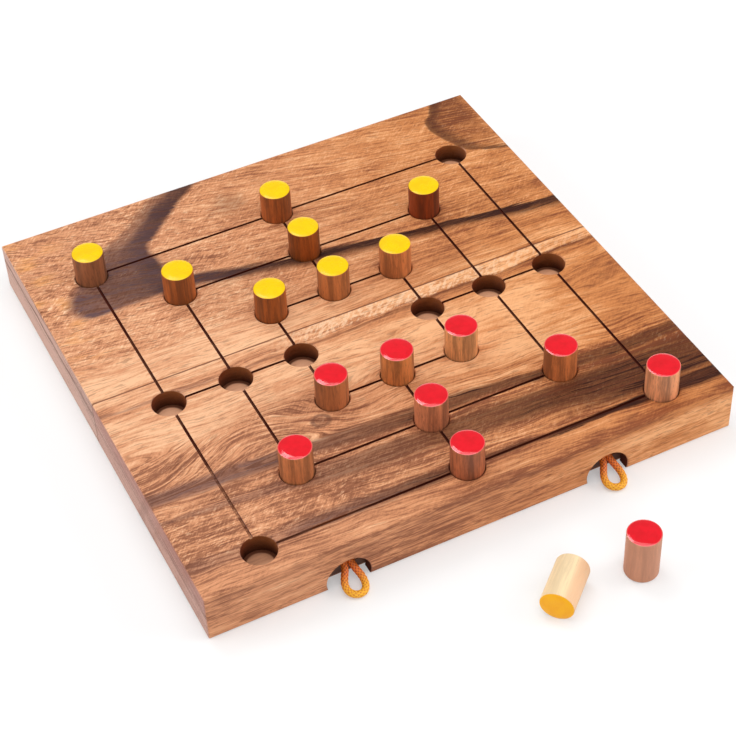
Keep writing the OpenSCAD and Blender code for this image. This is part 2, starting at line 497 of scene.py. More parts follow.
# The table's own light at the board and what it gains further off, and where that is, in mm
OWN_LIGHT, LIGHT_GAIN = 0.31, 0.61
GAIN_STARTS, GAIN_ENDS = 300, 1800

white = start_finish("white_table")
camera_ray, mirror_ray, glass_ray = (
    Signal.node("ShaderNodeLightPath", out=f"Is {kind} Ray")
    for kind in ("Camera", "Glossy", "Transmission"))
seen = Signal.math("MINIMUM", camera_ray + mirror_ray + glass_ray, 1)
grey = mix(seen, LIT, SEEN)
matt = Signal.node("ShaderNodeBsdfDiffuse", None, {"Color": grey})
x, y, z = place_in_mm()
away = Signal.math("SQRT", x ** 2 + y ** 2)
strength = seen * (OWN_LIGHT + LIGHT_GAIN * fade(away, GAIN_STARTS, GAIN_ENDS))
glow = Signal.node("ShaderNodeEmission", None, {"Color": (1, 1, 1, 1), "Strength": strength})
both = Signal.node("ShaderNodeAddShader", None, {0: matt, 1: glow})
Signal.node("ShaderNodeOutputMaterial", None, {"Surface": both})
give(white, table)
print(white.name, len(white.node_tree.nodes), "nodes")

# %% [markdown]
# ## The planks
# The wood is flat-sawn, with smoky streaks where the heart of the tree left its colour. Each plank
# has a tone that changes across its width, a set of streaks that run along it, patches where the
# grain is rough, and fine pores everywhere. A streak is the distance from a drawn line. All the
# lines were set one by one, beside the photograph.

# %% The planks' edges and a streak
FRONT, BACK, TOP = -83.8, 83.8, 16.6
SEAM_Y = 0.6
# How far the edge of a streak fades in and out, as a share of its half width
SOFTNESS = 0.5


def streak(x, y, middle, half_width):
    """A band that follows a drawn line; half_width is a number or a drawn line too."""
    off = abs(y - drawn(x, middle))
    half = drawn(x, half_width) if isinstance(half_width, list) else half_width
    return fade(off / half, 1 + SOFTNESS, 1 - SOFTNESS)


print("the board is", BACK - FRONT, "mm deep and", TOP, "mm thick")

# %% [markdown]
# The back plank has one long streak, sharp along its back and soft along its front. At the left it
# meets a smoky patch, and an arm of the patch reaches the back edge. A lobe with a dark rim fills
# the back right corner, and there are faint curls behind the middle. Each mask is 0 on plain wood
# and 1 where the smoke is thickest.

# %% Smoke of the back plank
# The streak as y along x, and the patch's left and right edges and the lobe's edge as x along y
LONG_STREAK = [(-100, 38), (-43, 38.5), (-33, 37.5), (-20, 33.8), (0, 30), (20, 26.8), (40, 24.2),
               (60, 21.2), (85, 17), (100, 14.5)]
PATCH_LEFT = [(-100, -70), (36, -72), (42, -76), (50, -72), (55, -66), (60, -62), (65, -57),
              (70, -49), (75, -43), (84, -33), (100, -22)]
PATCH_RIGHT = [(-100, -41), (38, -41), (52, -42), (60, -42.5), (65, -37), (70, -32), (75, -27),
               (84, -16), (100, -3)]
LOBE_EDGE = [(-100, 90), (47, 90), (48.5, 85), (50, 81), (51, 78), (52.3, 75), (53.5, 72),
             (56, 70.2), (60, 68.5), (63, 67), (67, 65.8), (70, 65.2), (72, 65.3), (75, 66),
             (77, 68.2), (80, 70), (84, 72), (100, 78)]


def back_smoke(x, y):
    """The smoke, the distance past the patch's left edge, and the haze in the lobe."""
    over = (y - drawn(x, LONG_STREAK)) * (1 + 0.18 * fade(x, 15, 60))
    thin = fade(over, 2.2, 1.2) * (0.25 * fade(over, -6.5, -2) + 0.75 * fade(over, -4.2, 0))
    wide = fade(abs(over), 3.6, 1.6) * fade(x, 5, -25) * 0.8
    thin = most(thin, wide) * fade(x, -46, -40)

    past_left = x - drawn(y, PATCH_LEFT)
    to_right = drawn(y, PATCH_RIGHT) - x
    patch = fade(past_left, -3, 3) * fade(to_right, -1.2, 2.4) * fade(y, 35, 38)
    arm_left = fade(y, 58, 68) * fade(to_right, 8, 13.5)
    patch = patch * (0.84 + 0.16 * fade(to_right, 13, 3) - 0.29 * arm_left)

    in_lobe = x - drawn(y, LOBE_EDGE)
    rim = fade(in_lobe, -0.4, 0.6) * fade(in_lobe, 9, 2)
    haze = fade(in_lobe, 0, 2) * (0.24 + 0.26 * fade(y, 64, 72)) * fade(x, 88, 80)
    curls = (((x + 11) / 8) ** 2 + ((y - 68) / 8) ** 2) ** 0.5
    smoke = most(thin, patch, rim * 0.66, haze * 0.6, fade(curls, 1.1, 0.2) * 0.3)
    return smoke, past_left, haze


print("the long streak is drawn through", len(LONG_STREAK), "points")

# %% [markdown]
# A figure gathers what a plank has at each point: its smoke, the tones that it would have there at
# its left and at its right end, and how rough, stringy, flecked or calm its grain is. The smoke and
# the tones wave with the grain. What keeps to the plank's faces is found from the straight y.

# %% Figure of the back plank
# The tone along y, from 0, the darkest, to 100, the palest
BACK_TONE_LEFT = [(-100, 70), (1, 78), (9, 84), (13, 66), (20, 54), (33, 52), (45, 45), (60, 47),
                  (75, 44), (100, 36)]
BACK_TONE_RIGHT = [(-100, 50), (1, 58), (6, 50), (14, 38), (22, 42), (27, 30), (33, 46), (45, 48),
                   (60, 52), (75, 50), (100, 40)]
# How stringy the grain is where nothing makes it more so
EVEN_STRINGS = 0.25


def tone_range(*lines):
    tones = [tone for line in lines for y, tone in line]
    return f"tones {min(tones)} to {max(tones)}"


def back_figure(x, y, straight):
    smoke, past_left, haze = back_smoke(x, y)
    rough = fade(y, 11, 18) * (0.35 + 0.65 * fade(x, 10, -30))
    scribbles = fade(past_left, -18, -1) * fade(past_left, 8, 0) * fade(y, 36, 42)
    rough = (rough + 0.7 * scribbles) * fade(straight, BACK - 0.2, BACK - 1.2)
    return SimpleNamespace(smoke=smoke, left=drawn(y, BACK_TONE_LEFT),
                           right=drawn(y, BACK_TONE_RIGHT) - 66 * haze,
                           rough=rough, strings=EVEN_STRINGS, flecks=0, calm=0)


def back_lean(x, y):
    """How far the fibres have swung off the straight, in mm. On the back face they haven't."""
    off_back = fade(y, BACK - 0.1, BACK - 0.4)
    return 0.0042 * (x + 40) * Signal.math("MAXIMUM", y - 2, 0) * off_back


print("back plank,", tone_range(BACK_TONE_LEFT, BACK_TONE_RIGHT))

# %% [markdown]
# The front plank has three streaks, of which the middle one widens to the right, smoke between the
# last two, a dark hairline near the seam, and a small knot with a ring round it.

# %% Smoke of the front plank
# Each streak's line and its half width, as y along x
UPPER = [(-100, -43), (-60, -45), (-40, -46), (-25, -47.6), (0, -49), (20, -50), (50, -52.3),
         (100, -52.5)]
UPPER_HALF = [(-100, 2.4), (-50, 2.8), (-20, 3), (20, 2.3), (35, 2), (60, 2.7), (100, 2.7)]
MIDDLE = [(-100, -52), (-60, -55), (-35, -57.5), (0, -59.5), (20, -61), (40, -63), (60, -64),
          (100, -63)]
MIDDLE_HALF = [(-100, 1.2), (-60, 1.5), (-35, 3.4), (0, 4.5), (40, 5.6), (60, 7.2), (100, 6)]
LOWER = [(-100, -72.5), (-40, -73), (0, -73.8), (20, -74.8), (40, -75.2), (60, -75),
         (100, -75.5)]
LOWER_HALF = [(-100, 2.4), (-50, 2.3), (-20, 2.2), (0, 1.7), (20, 1), (45, 1.1), (60, 2.2),
              (100, 3.2)]
BETWEEN, BETWEEN_HALF = [(-100, -68), (100, -68)], 4
HAIRLINE, HAIRLINE_HALF = [(-100, -6), (0, -6.6), (40, -5.6), (100, -5.2)], 0.5
# The knot's middle and its half lengths along x and y
KNOT, KNOT_HALF = (-28, -38), (2.5, 2.1)


def front_smoke(x, y, straight):
    upper = streak(x, y, UPPER, UPPER_HALF)
    middle = streak(x, y, MIDDLE, MIDDLE_HALF)
    lower = streak(x, y, LOWER, LOWER_HALF)
    between = streak(x, y, BETWEEN, BETWEEN_HALF) * fade(x, 25, 60)
    hairline = streak(x, y, HAIRLINE, HAIRLINE_HALF)
    knot = Signal.math("SQRT", ((x - KNOT[0]) / KNOT_HALF[0]) ** 2
                       + ((straight - KNOT[1]) / KNOT_HALF[1]) ** 2)
    return most(upper * (0.6 + 0.04 * fade(x, -40, 0)),
                middle * (0.4 + 0.12 * fade(x, -50, -10) + 0.2 * fade(x, 10, 45)),
                lower * (0.3 + 0.31 * fade(x, -60, -48) + 0.31 * fade(x, 0, 60)),
                between * 0.75, hairline * 0.35,
                fade(abs(knot - 1), 0.5, 0.1) * 0.5, fade(knot, 1, 0.5) * 0.35)


print("the knot is", 2 * KNOT_HALF[0], "mm long")

# %% [markdown]
# Left of its middle, the fibres of the front plank rise and fall like ripples. Its grain is calm on
# the right half and stringy from the first streak to the front. A row of pale flecks follows the
# seam. The front face is part of the same figure: the height is added to y, so that on this face y
# runs on past the edge.

# %% Figure of the front plank
FRONT_TONE_LEFT = [(-100, 36), (-94, 32), (-88, 42), (-84, 30), (-79, 38), (-76, 28), (-70, 29),
                   (-64, 23), (-57, 26), (-50, 32), (-45, 29), (-40, 29), (-33, 32), (-27, 46),
                   (-22, 70), (-13, 72), (-9, 55), (-6, 46), (-3, 66), (2, 72), (100, 70)]
FRONT_TONE_RIGHT = [(-100, 64), (-94, 66), (-90, 50), (-87, 66), (-84, 22), (-79, 48), (-75, 22),
                    (-68, 26), (-58, 24), (-50, 32), (-46, 58), (-35, 82), (-24, 80), (-12, 76),
                    (-9, 50), (-6.5, 28), (-4, 62), (-1, 80), (100, 78)]


def rib_patch(x, y):
    """Where the fibres rise and fall like ripples."""
    return fade(y, -24, -29) * fade(y, -46, -41) * fade(x, 0, -30)


def front_figure(x, y, straight):
    face = fade(y, -83.5, -85)
    # The plank's right end is darker, partly with painted shade, partly in its own tone
    darker = (52 * fade(x, 45, 80) * fade(y, -48, -42) * fade(y, -10, -16)
              + 18 * fade(x, 40, 60) * fade(y, -75, -77) * fade(y, -84, -83)
              + 15 * face * fade(abs(x + 5), 55, 25))
    shade = 12 * face * fade(x, 25, 60) - darker
    ribs = rib_patch(x, y)
    mottled = fade(y, -46, -52) * fade(y, -76, -70)
    left_mottled = mottled * fade(x, -10, -40)
    stringy = fade(y, -39, -44) * (1 - 0.5 * left_mottled - 0.4 * fade(y, -76, -79))
    calm_field = fade(x, -20, 40) * fade(y, -5, -12) * fade(y, -50, -42)
    return SimpleNamespace(smoke=front_smoke(x, y, straight),
                           left=drawn(y, FRONT_TONE_LEFT) + shade,
                           right=drawn(y, FRONT_TONE_RIGHT) + shade,
                           rough=most(ribs * 0.35, 0.4 * mottled + 0.4 * left_mottled),
                           strings=most(stringy, ribs * 0.9, EVEN_STRINGS),
                           flecks=fade(y, -5.6, -4.4) * fade(x, -35, -10) * fade(x, 120, 15),
                           calm=most(calm_field, fade(y, -74, -77)))


def front_lean(x, y):
    """How far the fibres have swung off the straight, in mm."""
    ripple = Signal.math("SINE", (x + 66) * 0.075)
    return 0.06 * (x + 85) * fade(y, -5, -40) - 7 * ripple * rib_patch(x, y)


print("front plank,", tone_range(FRONT_TONE_LEFT, FRONT_TONE_RIGHT))

# %% [markdown]
# What is cut into the planks is coloured too. A line is scorched by the burning tool. A hole's wall
# is darker than its floor with painted shade, and its floor paler with painted light. The corner
# round the floor is darkest, with painted shade. All are found by the distance from the grid that
# the field is laid out on.

# %% Scorched lines and hole walls
FIELD_MIDDLE = (0.5, -9.7)
PITCH = 21.6
HOLE_RADIUS, HOLE_FLOOR = 5.25, 10.5
LINE_WIDTH, LINE_REACH = 0.9, 1
# From the field's middle to the far side of the outer holes
HALF_FIELD = 3 * PITCH + HOLE_RADIUS


def off_grid(value, middle):
    """Distance from the nearest line of the grid, in mm."""
    steps = (value - middle) / PITCH
    return abs(steps - Signal.math("ROUND", steps)) * PITCH


def scorch(place, turned):
    """Masks of the burnt lines, the drilled walls, the floors and the corners round the floors."""
    x, y, z = place
    off_x, off_y = off_grid(x, FIELD_MIDDLE[0]), off_grid(y, FIELD_MIDDLE[1])
    reach = Signal.math("MAXIMUM", abs(x - FIELD_MIDDLE[0]), abs(y - FIELD_MIDDLE[1]))
    on_field = fade(reach, HALF_FIELD + 0.6, HALF_FIELD + 0.3)
    near_line = fade(Signal.math("MINIMUM", off_x, off_y), LINE_WIDTH / 2 + 0.15, LINE_WIDTH / 2)
    under_top = fade(z, TOP - 0.02, TOP - 0.12)
    line = near_line * under_top * fade(z, TOP - LINE_REACH - 0.1, TOP - LINE_REACH + 0.1)
    from_hole = Signal.math("SQRT", off_x ** 2 + off_y ** 2)
    inside = fade(from_hole, HOLE_RADIUS + 0.25, HOLE_RADIUS + 0.05)
    level = abs(turned[2])
    upright = 1 - fade(level, 0.3, 0.7)
    mouth = fade(level, 0.2, 0.4) * fade(level, 0.95, 0.85)
    drilled = fade(abs(from_hole - HOLE_RADIUS), 0.06, 0.03) * upright
    line = line * (1 - most(mouth, drilled))
    wall = inside * upright * fade(z, HOLE_FLOOR - 0.2, HOLE_FLOOR)
    near_floor = fade(z, HOLE_FLOOR + 1, HOLE_FLOOR + 0.5)
    floor = inside * (1 - upright) * near_floor * fade(z, HOLE_FLOOR - 0.6, HOLE_FLOOR - 0.2)
    corner = floor * fade(from_hole, HOLE_RADIUS - 1.5, HOLE_RADIUS - 0.8)
    return line * on_field, wall * on_field, floor * on_field, corner * on_field


print("the field is", round(6 * PITCH, 1), "mm wide, its holes", round(TOP - HOLE_FLOOR, 1),
      "mm deep")

# %% [markdown]
# The notches for the loops are darkened inside with painted shade, behind a clean front edge. They
# are found by their distance from the board's middle.

# %% The notches
NOTCH_RADIUS, NOTCH_TOP, NOTCH_BACK = 6.9, 9.2, -71


def notch_shade(place):
    """Where painted shade darkens the inside of the notches, behind the front edge."""
    x, y, z = place
    off = abs(abs(x) - NOTCH)
    return (fade(off, NOTCH_RADIUS + 0.4, NOTCH_RADIUS + 0.2)
            * fade(z, NOTCH_TOP + 0.1, NOTCH_TOP - 0.1)
            * fade(y, FRONT + 0.1, FRONT + 0.5) * fade(y, NOTCH_BACK + 1, NOTCH_BACK - 1))


# %% [markdown]
# The real wood has several textures, one over the other: long fibres, thin straight lines among
# them, open pores that show as dark dashes, curly grain where the fibres turn, slanting strokes
# where the saw crossed them, and slow clouds of tone. Each is a noise that is stretched along the
# fibres. Its coordinates are warped first, so that no fibre is straight.

# %% Grain of a plank
def plank_grain(place, turned, lean, seed):
    """The textures by name. The pores are a mask, and the others swing about 0."""
    x, y, z = place
    slow = noise(place, (30, 9, 9), seed) - 0.5
    swirl = noise(place, (20, 13, 13), seed + 4, 1, 0.5) - 0.5
    along = y + lean(x, y) + 5 * slow
    fibres = noise((x, along, z), (26, 1.5, 1.5), seed + 2, 4, 0.8) - 0.5
    lines = noise((x, along + 3 * swirl, z), (30, 0.65, 0.65), seed + 11, 2, 0.65) - 0.5
    pores = fade(noise((x, along, z), (5, 0.45, 0.45), seed + 3, 1, 0.5), 0.57, 0.67)
    curl = noise((x, y + 15 * swirl, z), (3, 0.6, 0.6), seed + 5, 2, 0.7) - 0.5
    slant = noise((x + y + 6 * swirl, y - x, z), (3.6, 0.8, 1.2), seed + 6, 2, 0.7) - 0.5
    slant = slant * fade(abs(turned[2]), 0.3, 0.7)
    cloud = noise(place, (16, 6, 6), seed + 7) - 0.5
    return SimpleNamespace(slow=slow, fibres=fibres, lines=lines, pores=pores, curl=curl,
                           slant=slant, cloud=cloud)


# %% [markdown]
# The textures move the figure's tone up and down, and the tone chooses among brown, tan and pale
# wood. The wood is pinker at the left end and more orange at the right, so each of those is a pair
# of paints. Smoke hides them under a colour of its own, but its fibres still show.

# %% Wood of a plank
# Each tone as it is at the left end and at the right end of the board
PALE = paint(243, 190, 148), paint(243, 178, 124)
TAN = paint(214, 148, 107), paint(204, 130, 75)
BROWN = paint(146, 92, 66), paint(140, 76, 44)
SMOKE = paint(90, 66, 67), paint(50, 18, 6)
# What the smoky wood is multiplied by, from its dark fibres to its pale ones
SMOKE_FIBRES = (0.62, 0.58, 0.55, 1), (1.35, 1.35, 1.35, 1)
CREAM = paint(252, 214, 176)
BLOND = paint(236, 162, 84)
PORE = paint(104, 56, 34)


def plank_wood(place, own, grain, seed):
    """The colour of the wood where its fibres lie along the surface. own is the plank's figure."""
    x, y, z = place
    rough, lines = own.rough, grain.lines * own.strings
    tone = (own.left + (own.right - own.left) * fade(x, -45, 45)) / 100
    tone = tone + (2.1 - 0.6 * rough - 0.9 * own.calm) * grain.fibres + 0.7 * grain.cloud
    tone = tone + (0.35 + 0.75 * rough) * grain.curl + (0.35 + 0.5 * rough) * grain.slant
    tone = tone + 1.6 * lines

    pale, tan, brown = (mix(fade(x, -60, 75), *pair) for pair in (PALE, TAN, BROWN))
    wood = mix(fade(tone, 0, 0.5), brown, tan)
    wood = mix(fade(tone, 0.4, 1.0), wood, pale)
    wood = mix(fade(grain.curl + grain.slant, 0.1, 0.3) * rough * 0.4, wood, CREAM)
    blond = fade(x, -62, -82) * fade(grain.cloud, 0, 0.2) * fade(y, 8, 16)
    wood = mix(blond * 0.5, wood, BLOND)
    zigzag = noise((x - 1.2 * y, y + 1.2 * x, z), (1.2, 3.4, 3), seed + 8, 2, 0.6)
    wood = mix(own.flecks * fade(zigzag, 0.44, 0.6) * 0.6, wood, CREAM)

    streaky = 1 + 1.5 * grain.fibres + 0.7 * grain.curl + 0.6 * grain.cloud + 3 * lines
    wood = mix(own.smoke * streaky, wood, mix(fade(x, -70, 5), *SMOKE))
    fibrous = fade(grain.fibres + 0.3 * grain.curl + 1.2 * lines, -0.16, 0.16)
    wood = mix(own.smoke, wood, mix(fibrous, *SMOKE_FIBRES), "MULTIPLY")
    return mix(grain.pores * (0.35 + 0.15 * rough), wood, PORE)


# %% [markdown]
# On the two end faces the fibres are cut across, so there the pattern turns to fine layers and
# specks. A dark ring of the tree shows in the back plank's ends, and the front plank's are pinker.

# %% End grain
# From its dark layers to its pale ones
END_GRAIN = paint(136, 96, 84), paint(208, 168, 152)
END_RING = paint(112, 70, 58)
END_PINK = paint(178, 116, 104)
RING_HEIGHT = 11.4


def end_grain(place, slow, seed):
    x, y, z = place
    layers = noise((x, y + 2 * z, z - 0.04 * y + 2 * slow), (40, 30, 0.8), seed + 9, 4, 0.7)
    specks = noise(place, (0.5, 0.6, 0.35), seed + 10, 2, 0.6)
    paler = 0.08 * fade(y, -30, 60) + 0.06 * fade(z, 9, 6)
    cut_across = mix(fade(layers * 0.65 + specks * 0.35 + paler, 0.38, 0.62), *END_GRAIN)
    behind = fade(y, SEAM_Y - 0.1, SEAM_Y + 0.1)
    ring = fade(abs(z - RING_HEIGHT + 3 * slow), 0.9, 0.2) * behind
    cut_across = mix(ring * 0.7, cut_across, END_RING)
    return mix((1 - behind) * (0.2 + 0.3 * fade(z, 8, 15)), cut_across, END_PINK)


# %% [markdown]
# Then come the colours of what is cut in: floors made paler with painted light, with painted shade
# in their corners, walls with painted shade that is darker towards their foot, the burnt lines,
# which are worn at the front and the left, and painted shade in the notches.

# %% Colours of what is cut in
# A hole's floor in all rows but the front one, and in that, paler than the wood as painted light
FLOOR = paint(250, 186, 148), paint(200, 144, 110)
# Painted shade in the corner round a hole's floor
CORNER_SHADE = paint(84, 34, 12)
# The drilled wall on a hole's left side and on its right side; the left one is darker, as painted
# shade
WALL_SHADED_AND_LIT = paint(112, 44, 14), paint(150, 86, 44)
# Painted shade: what the wall is multiplied by, from its foot to its mouth
WALL_SHADE = (0.2, 0.13, 0.1, 1), (1, 1, 1, 1)
BURNT = paint(74, 21, 8)
# Painted shade inside the notches
NOTCH_SHADE_PAINT = paint(84, 28, 6)


def cut_in(wood, place, turned, grain):
    """The wood with its holes, lines and notches, and the masks of the lines and of the notches'
    painted shade.
    """
    x, y, z = place
    line, wall, floor, corner = scorch(place, turned)
    # The floors are paler than the wood as painted light, and darker in their corners with painted
    # shade
    wood = mix(floor * 0.7, wood, mix(fade(y, -62, -68), *FLOOR))
    wood = mix(corner * 0.9, wood, CORNER_SHADE)
    # The walls are darkened with painted shade, more on the left side and towards the foot
    drilled = mix(fade(turned[0], 0.9, -0.9), *WALL_SHADED_AND_LIT)
    foot_to_mouth = fade(z + 3 * grain.fibres, HOLE_FLOOR, TOP + 0.2)
    drilled = mix(1, drilled, mix(foot_to_mouth, *WALL_SHADE), "MULTIPLY")
    wood = mix(wall * 0.95, wood, drilled)
    worn = most(fade(y, -70, -73) * fade(x, -22, -44), fade(x, -60, -63) * fade(y, -36, -44))
    wood = mix(line * (0.95 + 0.4 * grain.slow - 0.6 * worn), wood, BURNT)
    # The inside of the notches is darkened with painted shade
    notch_dark = notch_shade(place)
    return mix(notch_dark * 0.95, wood, NOTCH_SHADE_PAINT), line, notch_dark


# %% [markdown]
# The whole finish of a plank puts these together, from the wood to what is cut into it. Oiled wood
# shines little, and least in the burnt lines and in the painted shade of the notches.

# %% Plank finish
def plank_finish(name, figure, lean, seed):
    material = start_finish(name)
    place = x, y, z = place_in_mm()
    turned = facing()
    grain = plank_grain(place, turned, lean, seed)
    # The figure waves with the grain, in mm, and turns down over the edges
    wavy = y + 3.2 * grain.slow + 4 * grain.fibres + 1.5 * grain.cloud + 0.6 * (z - TOP)
    own = figure(x, wavy, y)
    wood = plank_wood(place, own, grain, seed)
    end = fade(abs(turned[0]), 0.6, 0.9)
    wood = mix(end * (1 - 0.5 * own.smoke), wood, end_grain(place, grain.slow, seed))
    seam = fade(abs(y - SEAM_Y), 0.36, 0.16)
    wood = mix(seam * 0.85, wood, PORE)
    wood, line, notch_dark = cut_in(wood, place, turned, grain)
    roughness = 0.55 + 0.3 * grain.fibres + 0.2 * line + 0.1 * own.rough + 0.4 * notch_dark
    bump = grain.fibres + (0.3 + 0.5 * own.rough) * grain.curl - grain.pores * 0.5
    end_finish(wood, roughness, bump, height=0.00008, **{"Specular IOR Level": 0.16})
    print(name, len(material.node_tree.nodes), "nodes")
    return material


give(plank_finish("back_plank_wood", back_figure, back_lean, 1), nodes["back_plank"])
give(plank_finish("front_plank_wood", front_figure, front_lean, 21), nodes["front_plank"])

# %% [markdown]
# ## The lids
# The lids are thin quarter-sawn stuff of the same wood, without the streaks, so they take the same
# pores on an even tone.

# %% Lid finish
# Painted shade on the lid's front edge inside a notch
LID_NOTCH_SHADE_PAINT = paint(64, 28, 8)


def lid_finish(name, seed):
    material = start_finish(name)
    x, y, z = place = place_in_mm()
    slow = noise(place, (45, 10, 10), seed) - 0.5
    wavy = y + 5 * slow
    bands = noise((x, wavy, z), (70, 3.2, 3), seed + 1)
    fine = noise((x, wavy, z), (12, 0.5, 0.5), seed + 2, 3, 0.6)
    pores = fade(noise(place, (3.4, 0.3, 0.3), seed + 3, 2, 0.6), 0.6, 0.72)
    tone = bands * 0.7 + fine * 0.35
    wood = mix(fade(tone, 0.35, 0.75), BROWN[0], TAN[0])
    wood = mix(pores * 0.3, wood, PORE)
    end = fade(abs(facing()[0]), 0.6, 0.9)
    wood = mix(end * 0.6, wood, END_GRAIN[1])
    over_underside = fade(z, 0.5, 0.7)
    # The lid's front edge inside a notch is darkened with painted shade
    wood = mix(notch_shade(place) * over_underside * 0.9, wood, LID_NOTCH_SHADE_PAINT)
    end_finish(wood, 0.55 + 0.1 * (fine - 0.5), fine * 0.5 - pores * 0.5, height=0.00007)
    return material


for lid, seed in (("left_lid", 41), ("right_lid", 47)):
    give(lid_finish(lid + "_wood", seed), nodes[lid])
    print(lid, len(nodes[lid].data.polygons), "faces")

# %% [markdown]
# ## The dowels
# Eight men of each colour stand in holes of the field. A red one stands beside the board and a
# yellow one lies there. The rods differ, so each man has a tone of wood of its own. The rod of the
# man that lies down was cut near the heart of its tree, so it is pinker on one side.

# %% Every man's place and wood
# The step of each man on the field, and the tone of its wood
RED_MEN = [((-1, -1), (190, 112, 66)), ((0, -1), (220, 134, 73)), ((1, -1), (252, 174, 112)),
           ((-2, -2), (208, 127, 78)), ((0, -2), (216, 130, 88)), ((2, -2), (216, 122, 66)),
           ((0, -3), (192, 107, 68)), ((3, -3), (244, 162, 113))]
YELLOW_MEN = [((-3, 3), (162, 98, 62)), ((0, 3), (186, 98, 44)), ((-2, 2), (180, 96, 42)),
              ((0, 2), (168, 83, 26)), ((2, 2), (146, 58, 16)), ((-1, 1), (171, 88, 32)),
              ((0, 1), (200, 120, 66)), ((1, 1), (214, 128, 72))]
SPARE_RED = ((31.5, -118.4, 0), (208, 144, 112))
SPARE_YELLOW = ((13.4, -111.7, 5), (255, 226, 180))
# Lengths in mm, and how dark the deep fibres are beside the pale ones, in a man on the board and in
# a spare one
LENGTH, SPARE_LENGTH = 16.4, 15.8
DEPTH, SPARE_DEPTH = 0.64, 0.9
# How much of the heart's colour the lying man has on one side
HEART_SHARE = 0.75
SPARE_YELLOW_TURN = 222
lying = math.radians(SPARE_YELLOW_TURN)
UP, LYING = Vector((0, 0, 1)), Vector((math.cos(lying), math.sin(lying), 0))

Man = namedtuple("Man", "foot axis length wood depth heart")


def on_grid(step):
    """The middle of the foot of the man that stands so many steps from the field's middle."""
    return (FIELD_MIDDLE[0] + step[0] * PITCH, FIELD_MIDDLE[1] + step[1] * PITCH, HOLE_FLOOR)


men = {}
for colour, steps in (("red", RED_MEN), ("yellow", YELLOW_MEN)):
    for i, (step, wood) in enumerate(steps):
        men[f"{colour}_man_{i + 1}"] = Man(on_grid(step), UP, LENGTH, wood, DEPTH, 0)
men["red_man_9"] = Man(SPARE_RED[0], UP, SPARE_LENGTH, SPARE_RED[1], SPARE_DEPTH, 0)
men["yellow_man_9"] = Man(SPARE_YELLOW[0], LYING, SPARE_LENGTH, SPARE_YELLOW[1], SPARE_DEPTH,
                          HEART_SHARE)
print(len(men), "men")

# %% [markdown]
# Every man is cut from a rod, so its fibres run along it, whichever way it lies. The finish takes
# the middle of the man's foot and the direction of its axis, and works out the height along the
# axis and the two directions across it.

# %% Dowel finish
HEARTWOOD = paint(238, 184, 142)
FIRST_SEED, SEEDS_EACH = 60, 3


def dowel_finish(name, man, seed):
    """Wood with its fibres along the axis of a man."""
    material = start_finish(name)
    pale, deep = paint(*man.wood), paint(*(c * man.depth for c in man.wood))
    x, y, z = (coordinate - start for coordinate, start in zip(place_in_mm(), man.foot))
    across = Vector((-man.axis.y, man.axis.x, 0))
    side = across.normalized() if man.axis.z < 0.5 else Vector((0, 1, 0))
    third = man.axis.cross(side)

    def part(direction):
        return x * direction[0] + y * direction[1] + z * direction[2]

    over = part(side)
    rod = over, part(third), part(man.axis)
    bands = noise(rod, (3, 3, 60), seed)
    fine = noise(rod, (0.6, 0.6, 8), seed + 1, 4, 0.75)
    pores = fade(noise(rod, (0.3, 0.3, 2.4), seed + 2, 1, 0.6), 0.6, 0.7)
    tone = bands * 0.55 + fine * 0.45
    wood = mix(fade(tone, 0.36, 0.64), deep, pale)
    wood = mix(fade(over + 2 * (bands - 0.5), 1.4, 3.2) * man.heart, wood, HEARTWOOD)
    wood = mix(pores * 0.5, wood, deep)
    end_finish(wood, 0.55 + 0.1 * (fine - 0.5), fine * 0.5 - pores * 0.5, height=0.00006,
               **{"Specular IOR Level": 0.35})
    return material


for i, (name, man) in enumerate(men.items()):
    give(dowel_finish(name + "_wood", man, FIRST_SEED + SEEDS_EACH * i), nodes[name])
print("each dowel has", len(nodes["red_man_1"].data.materials[0].node_tree.nodes), "nodes")

# %% [markdown]
# ## The enamel
# Each man's end was dipped in enamel. The paint stands a little proud in the middle and rolls off
# at the rim, and that roll is what catches a bright crescent of the window. A disc would stay flat,
# so the coat is modelled once, from a disc that is inset and lifted ring by ring, and copied.

# %% Model one coat of enamel
# Each ring's radius and height over the dowel's end in mm, from the rim inwards
COAT_RINGS = [(4.9, 0.02), (4.65, 0.1), (4.2, 0.215), (3.4, 0.325), (2.4, 0.38), (1.2, 0.397)]
COAT_SIDES = 64
COAT_SMOOTH_ANGLE = 50
COAT_RADIUS, RIM_HEIGHT = (size * MM for size in COAT_RINGS[0])

deselect_all()
bpy.ops.mesh.primitive_cylinder_add(vertices=COAT_SIDES, radius=COAT_RADIUS, depth=RIM_HEIGHT,
                                    location=(0, 0, RIM_HEIGHT / 2))
coat = finished(bpy.context.object)
bpy.ops.object.mode_set(mode="EDIT")
bpy.ops.mesh.select_all(action="DESELECT")
bpy.ops.object.mode_set(mode="OBJECT")
# Only the upper face is inset
for face in coat.data.polygons:
    face.select = face.normal.z > 0.9
bpy.ops.object.mode_set(mode="EDIT")
for (radius, height), (inner, higher) in zip(COAT_RINGS, COAT_RINGS[1:]):
    bpy.ops.mesh.inset(thickness=(radius - inner) * MM, depth=0)
    bpy.ops.transform.translate(value=(0, 0, (higher - height) * MM))
bpy.ops.mesh.poke()
bpy.ops.object.mode_set(mode="OBJECT")
bpy.ops.object.shade_smooth_by_angle(angle=math.radians(COAT_SMOOTH_ANGLE))
rim = coat.data.attributes.new("rim", "FLOAT", "POINT")
for vertex, share in zip(coat.data.vertices, rim.data):
    share.value = vertex.co.xy.length / COAT_RADIUS
print("coat", len(coat.data.polygons), "faces,",
      round(max(v.co.z for v in coat.data.vertices) / MM, 3), "mm high")
